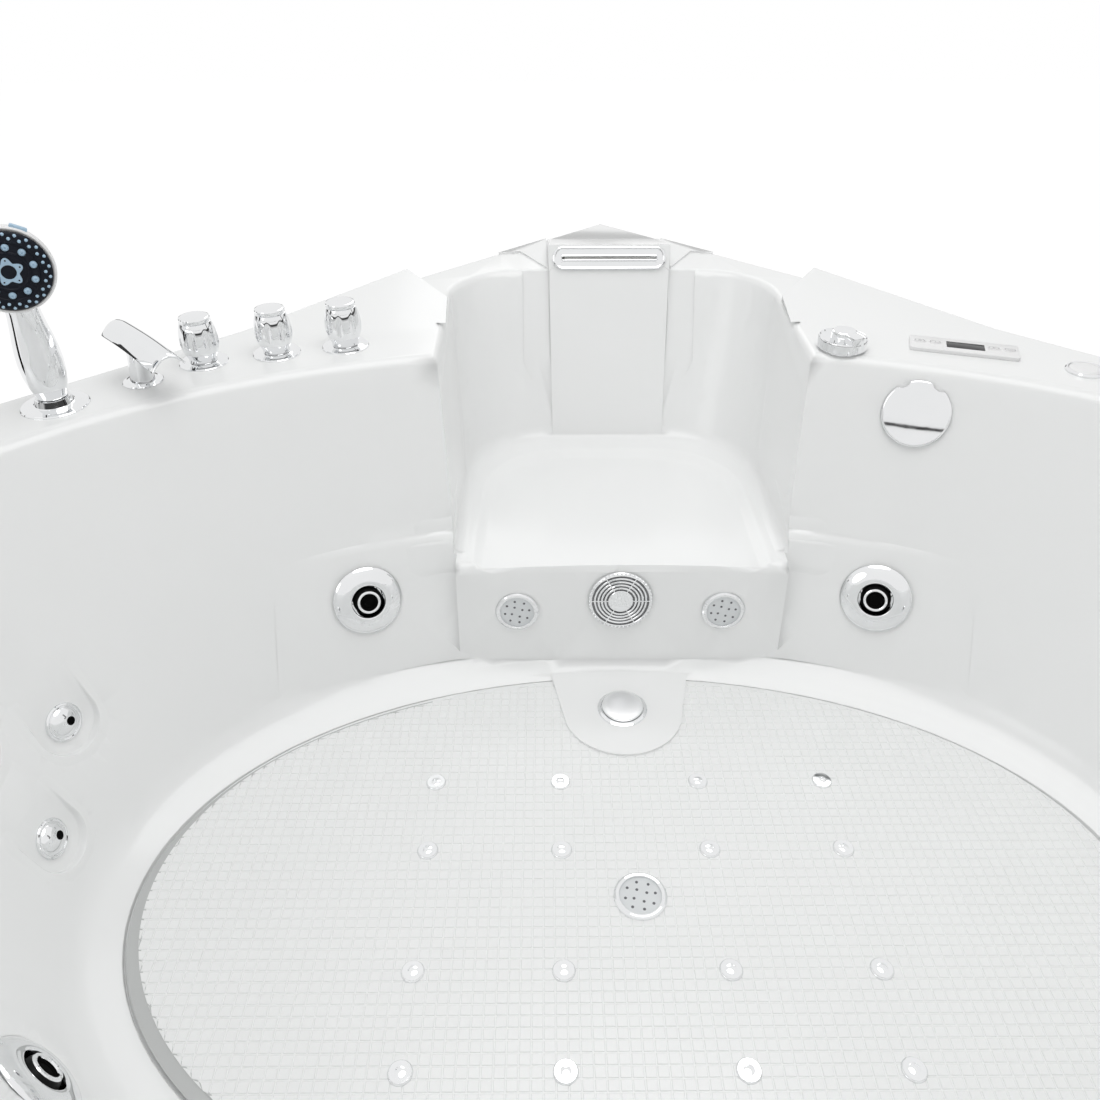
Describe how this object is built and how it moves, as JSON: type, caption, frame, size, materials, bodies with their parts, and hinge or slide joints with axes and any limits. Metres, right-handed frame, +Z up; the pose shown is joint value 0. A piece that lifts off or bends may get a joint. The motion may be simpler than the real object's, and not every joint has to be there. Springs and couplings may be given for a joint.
{
  "type": "corner jetted bath",
  "caption": "Corner bath with an oval basin, built-in seat, waterfall spout, water and air jets, deck taps, hand shower and curved front panel on a steel frame.",
  "frame": {"origin": "on the floor under the middle of the outline", "axes": "+Z up, +Y towards the room corner, +X to the right for a person who faces that corner"},
  "size_m": [2.1636, 1.749, 0.8145],
  "materials": {
    "acrylic": "glossy white sanitary acrylic",
    "chrome": "polished chrome",
    "black_plastic": "smooth black plastic",
    "white_plastic": "satin white plastic",
    "frosted_lens": "frosted light lens",
    "pipe_plastic": "white pipe plastic",
    "brass": "bare brass and copper",
    "pump_housing": "moulded black housing",
    "box_plastic": "grey moulded enclosure",
    "steel_tube": "galvanised square tube",
    "foot_rubber": "rubber pad on zinc stud",
    "board": "sealed particle board"
  },
  "bodies": {
    "tub": {"tub_shell": "acrylic", "front_apron": "acrylic", "base_board": "board", "support_frame": "steel_tube", "levelling_feet": "foot_rubber", "waterfall_plate": "chrome", "waterfall_chamber": "pipe_plastic", "suction_cover": "chrome", "suction_body": "pipe_plastic", "light_bodies": "chrome", "light_lenses": "frosted_lens", "jet_housings": "chrome", "back_jet_housings": "chrome", "air_jets": "chrome", "drain_flange": "chrome", "drain_trap": "pipe_plastic", "overflow_body": "pipe_plastic", "overflow_pipe": "pipe_plastic", "shower_socket": "chrome", "bath_spout": "chrome", "knob_flanges": "chrome", "mixer_valves": "brass", "air_regulator_base": "chrome", "control_panel": "white_plastic", "panel_display": "black_plastic", "button_rim": "chrome", "water_pump": "pump_housing", "air_blower": "pump_housing", "control_box": "box_plastic", "water_manifold": "pipe_plastic", "air_manifold": "pipe_plastic", "suction_pipe": "pipe_plastic", "supply_pipes": "brass"},
    "drain_plug": {"drain_plug": "chrome"},
    "overflow_knob": {"overflow_knob": "chrome"},
    "shower_handset": {"shower_handset": "chrome"},
    "shower_face": {"shower_face": "black_plastic"},
    "knob_hot": {"knob_hot": "chrome"},
    "knob_diverter": {"knob_diverter": "chrome"},
    "knob_cold": {"knob_cold": "chrome"},
    "air_regulator_knob": {"air_regulator_knob": "chrome"},
    "panel_key_1": {"panel_key_1": "white_plastic"},
    "panel_key_2": {"panel_key_2": "white_plastic"},
    "panel_key_3": {"panel_key_3": "white_plastic"},
    "panel_key_4": {"panel_key_4": "white_plastic"},
    "button_cap": {"button_cap": "white_plastic"},
    "jet_face_left_back": {"jet_face_left_back": "chrome"},
    "jet_nozzle_left_back": {"jet_nozzle_left_back": "black_plastic"},
    "jet_face_right_back": {"jet_face_right_back": "chrome"},
    "jet_nozzle_right_back": {"jet_nozzle_right_back": "black_plastic"},
    "jet_face_left_front": {"jet_face_left_front": "chrome"},
    "jet_nozzle_left_front": {"jet_nozzle_left_front": "black_plastic"},
    "jet_face_right_front": {"jet_face_right_front": "chrome"},
    "jet_nozzle_right_front": {"jet_nozzle_right_front": "black_plastic"},
    "back_jet_rotor_left_upper": {"back_jet_rotor_left_upper": "chrome"},
    "back_jet_rotor_left_lower": {"back_jet_rotor_left_lower": "chrome"},
    "back_jet_rotor_left_top": {"back_jet_rotor_left_top": "chrome"},
    "back_jet_rotor_right_upper": {"back_jet_rotor_right_upper": "chrome"},
    "back_jet_rotor_right_lower": {"back_jet_rotor_right_lower": "chrome"},
    "back_jet_rotor_right_top": {"back_jet_rotor_right_top": "chrome"}
  },
  "joints": [
    {"name": "overflow_turn", "type": "hinge", "parent": "tub", "child": "overflow_knob", "pos_m": [0.379, 0.19328, 0.543], "axis": [-0.3279, -0.8827, 0.3367], "range_deg": [0, 90]},
    {"name": "plug_lift", "type": "slide", "parent": "tub", "child": "drain_plug", "axis": [0, 0, 1], "range_m": [0, 0.008]},
    {"name": "handset_lift", "type": "slide", "parent": "tub", "child": "shower_handset", "axis": [0, 0, 1], "range_m": [0, 0.12]},
    {"name": "spray_select", "type": "hinge", "parent": "shower_handset", "child": "shower_face", "pos_m": [-0.67226, 0.0856, 0.768], "axis": [0.4907, -0.8713, 0], "range_deg": [-45, 45]},
    {"name": "hot_turn", "type": "hinge", "parent": "tub", "child": "knob_hot", "pos_m": [-0.548, 0.235, 0.6], "axis": [0, 0, 1], "range_deg": [0, 90]},
    {"name": "diverter_turn", "type": "hinge", "parent": "tub", "child": "knob_diverter", "pos_m": [-0.46, 0.264, 0.6], "axis": [0, 0, 1], "range_deg": [-60, 60]},
    {"name": "cold_turn", "type": "hinge", "parent": "tub", "child": "knob_cold", "pos_m": [-0.373, 0.287, 0.6], "axis": [0, 0, 1], "range_deg": [-90, 0]},
    {"name": "air_regulator_turn", "type": "hinge", "parent": "tub", "child": "air_regulator_knob", "pos_m": [0.2925, 0.274, 0.6], "axis": [0, 0, 1], "range_deg": [0, 120]},
    {"name": "panel_key_1_press", "type": "slide", "parent": "tub", "child": "panel_key_1", "axis": [0, 0, -1], "range_m": [0, 0.0008], "stiffness_N_per_m": 300, "springref_m": -0.0006},
    {"name": "panel_key_2_press", "type": "slide", "parent": "tub", "child": "panel_key_2", "axis": [0, 0, -1], "range_m": [0, 0.0008], "stiffness_N_per_m": 300, "springref_m": -0.0006},
    {"name": "panel_key_3_press", "type": "slide", "parent": "tub", "child": "panel_key_3", "axis": [0, 0, -1], "range_m": [0, 0.0008], "stiffness_N_per_m": 300, "springref_m": -0.0006},
    {"name": "panel_key_4_press", "type": "slide", "parent": "tub", "child": "panel_key_4", "axis": [0, 0, -1], "range_m": [0, 0.0008], "stiffness_N_per_m": 300, "springref_m": -0.0006},
    {"name": "button_press", "type": "slide", "parent": "tub", "child": "button_cap", "axis": [0, 0, -1], "range_m": [0, 0.004], "stiffness_N_per_m": 300, "springref_m": -0.003},
    {"name": "jet_face_left_back_turn", "type": "hinge", "parent": "tub", "child": "jet_face_left_back", "pos_m": [-0.34958, 0.10696, 0.30584], "axis": [0.3627, -0.8673, 0.3409], "range_deg": [0, 90]},
    {"name": "jet_nozzle_left_back_aim", "type": "hinge", "parent": "jet_face_left_back", "child": "jet_nozzle_left_back", "pos_m": [-0.34958, 0.10696, 0.30584], "axis": [0.9226, 0.3859, 0], "range_deg": [-12, 12]},
    {"name": "jet_face_right_back_turn", "type": "hinge", "parent": "tub", "child": "jet_face_right_back", "pos_m": [0.34958, 0.10696, 0.30584], "axis": [-0.3627, -0.8673, 0.3409], "range_deg": [0, 90]},
    {"name": "jet_nozzle_right_back_aim", "type": "hinge", "parent": "jet_face_right_back", "child": "jet_nozzle_right_back", "pos_m": [0.34958, 0.10696, 0.30584], "axis": [0.9226, -0.3859, 0], "range_deg": [-12, 12]},
    {"name": "jet_face_left_front_turn", "type": "hinge", "parent": "tub", "child": "jet_face_left_front", "pos_m": [-0.53812, -0.4999, 0.26845], "axis": [0.6536, 0.649, 0.3894], "range_deg": [0, 90]},
    {"name": "jet_nozzle_left_front_aim", "type": "hinge", "parent": "jet_face_left_front", "child": "jet_nozzle_left_front", "pos_m": [-0.53812, -0.4999, 0.26845], "axis": [-0.7046, 0.7096, 0], "range_deg": [-12, 12]},
    {"name": "jet_face_right_front_turn", "type": "hinge", "parent": "tub", "child": "jet_face_right_front", "pos_m": [0.53812, -0.4999, 0.26845], "axis": [-0.6536, 0.649, 0.3894], "range_deg": [0, 90]},
    {"name": "jet_nozzle_right_front_aim", "type": "hinge", "parent": "jet_face_right_front", "child": "jet_nozzle_right_front", "pos_m": [0.53812, -0.4999, 0.26845], "axis": [-0.7046, -0.7096, 0], "range_deg": [-12, 12]},
    {"name": "back_jet_rotor_left_upper_spin", "type": "hinge", "parent": "tub", "child": "back_jet_rotor_left_upper", "pos_m": [-0.65432, -0.13872, 0.32503], "axis": [0.885, -0.3705, 0.2819], "continuous": true},
    {"name": "back_jet_rotor_left_lower_spin", "type": "hinge", "parent": "tub", "child": "back_jet_rotor_left_lower", "pos_m": [-0.64389, -0.24378, 0.25392], "axis": [0.9529, -0.0599, 0.2974], "continuous": true},
    {"name": "back_jet_rotor_left_top_spin", "type": "hinge", "parent": "tub", "child": "back_jet_rotor_left_top", "pos_m": [-0.70259, -0.23382, 0.37392], "axis": [0.9511, -0.0847, 0.297], "continuous": true},
    {"name": "back_jet_rotor_right_upper_spin", "type": "hinge", "parent": "tub", "child": "back_jet_rotor_right_upper", "pos_m": [0.65432, -0.13872, 0.32503], "axis": [-0.885, -0.3705, 0.2819], "continuous": true},
    {"name": "back_jet_rotor_right_lower_spin", "type": "hinge", "parent": "tub", "child": "back_jet_rotor_right_lower", "pos_m": [0.64389, -0.24378, 0.25392], "axis": [-0.9529, -0.0599, 0.2974], "continuous": true},
    {"name": "back_jet_rotor_right_top_spin", "type": "hinge", "parent": "tub", "child": "back_jet_rotor_right_top", "pos_m": [0.70259, -0.23382, 0.37392], "axis": [-0.9511, -0.0847, 0.297], "continuous": true}
  ],
  "couplings": [
    {"joint": "plug_lift", "follows": "overflow_turn", "m_per_rad": 0.00509}
  ]
}
